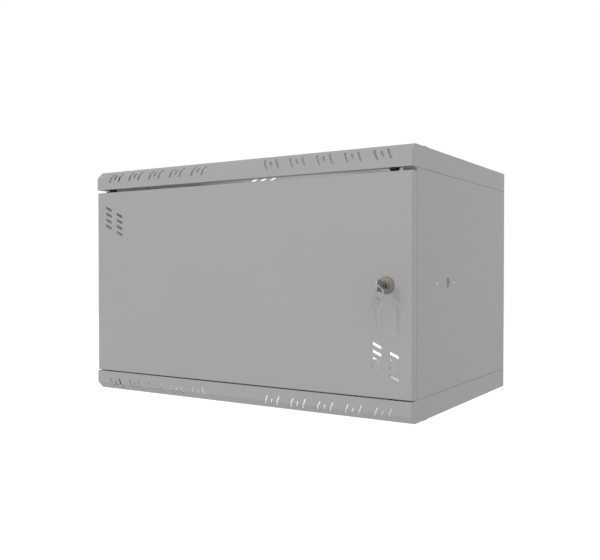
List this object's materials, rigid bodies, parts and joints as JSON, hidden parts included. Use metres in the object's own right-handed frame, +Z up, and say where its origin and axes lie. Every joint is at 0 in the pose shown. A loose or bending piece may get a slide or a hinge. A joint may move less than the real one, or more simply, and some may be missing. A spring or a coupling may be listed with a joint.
{
  "type": "wall mount network cabinet",
  "caption": "Wall mount 19 inch network cabinet of folded grey sheet steel: solid reversible door with vents and a key lock, slotted chamfered covers, open back.",
  "frame": {"origin": "centre of the four wall fixings, on the plane of the wall (the cabinet's rear face), halfway up", "axes": "+X to the right as seen from the front, +Y into the wall, +Z up; the door faces -Y"},
  "size_m": [0.6, 0.4376, 0.3824],
  "materials": {
    "grey_powder_coat": "fine textured light grey powder coat",
    "zinc_plated_steel": "bright zinc plate",
    "black_nylon": "matt black nylon",
    "nickel_plated_zinc": "satin nickel plate",
    "nickel_plated_brass": "bright nickel plate",
    "dark_nickel_plug": "worn dark nickel plate"
  },
  "bodies": {
    "cabinet": {"bottom_cable_plate": "grey_powder_coat", "bottom_cable_plate_screws": "zinc_plated_steel", "bottom_cover": "grey_powder_coat", "bottom_left_bush": "black_nylon", "bottom_left_channel": "zinc_plated_steel", "bottom_left_clip": "black_nylon", "bottom_right_bush": "black_nylon", "bottom_right_channel": "zinc_plated_steel", "bottom_right_clip": "black_nylon", "floor_earth_nut": "zinc_plated_steel", "floor_earth_stud": "zinc_plated_steel", "left_front_rail": "zinc_plated_steel", "left_rear_rail": "zinc_plated_steel", "left_side_panel": "grey_powder_coat", "lock_jamb": "grey_powder_coat", "rail_bolts": "zinc_plated_steel", "rail_nuts": "zinc_plated_steel", "right_front_rail": "zinc_plated_steel", "right_rear_rail": "zinc_plated_steel", "right_side_panel": "grey_powder_coat", "top_cable_plate": "grey_powder_coat", "top_cable_plate_screws": "zinc_plated_steel", "top_cover": "grey_powder_coat", "top_left_bush": "black_nylon", "top_left_channel": "zinc_plated_steel", "top_left_clip": "black_nylon", "top_right_bush": "black_nylon", "top_right_channel": "zinc_plated_steel", "top_right_clip": "black_nylon"},
    "door": {"door": "grey_powder_coat", "top_hinge_pin": "zinc_plated_steel", "bottom_hinge_pin": "zinc_plated_steel", "lock_barrel": "nickel_plated_zinc", "lock_nut": "zinc_plated_steel", "door_earth_stud": "zinc_plated_steel", "door_earth_nut": "zinc_plated_steel"},
    "lock": {"lock_plug": "dark_nickel_plug", "lock_cam": "zinc_plated_steel", "cam_screw": "zinc_plated_steel", "key_in_lock": "nickel_plated_brass"},
    "ring": {"key_ring": "nickel_plated_brass"},
    "spare": {"spare_key": "nickel_plated_brass"}
  },
  "joints": [
    {"name": "door_hinge", "type": "hinge", "parent": "cabinet", "child": "door", "pos_m": [-0.2704, -0.3955, 0], "axis": [0, 0, -1], "range_deg": [0, 170]},
    {"name": "lock_turn", "type": "hinge", "parent": "door", "child": "lock", "pos_m": [0.262, -0.4029, -0.00185], "axis": [0, -1, 0], "range_deg": [0, 90]},
    {"name": "ring_swing", "type": "hinge", "parent": "lock", "child": "ring", "pos_m": [0.262, -0.4293, -0.00345], "axis": [1, 0, 0], "range_deg": [-45, 20]},
    {"name": "spare_key_swing", "type": "hinge", "parent": "ring", "child": "spare", "pos_m": [0.262, -0.4293, -0.01945], "axis": [1, 0, 0], "range_deg": [-45, 10]}
  ]
}
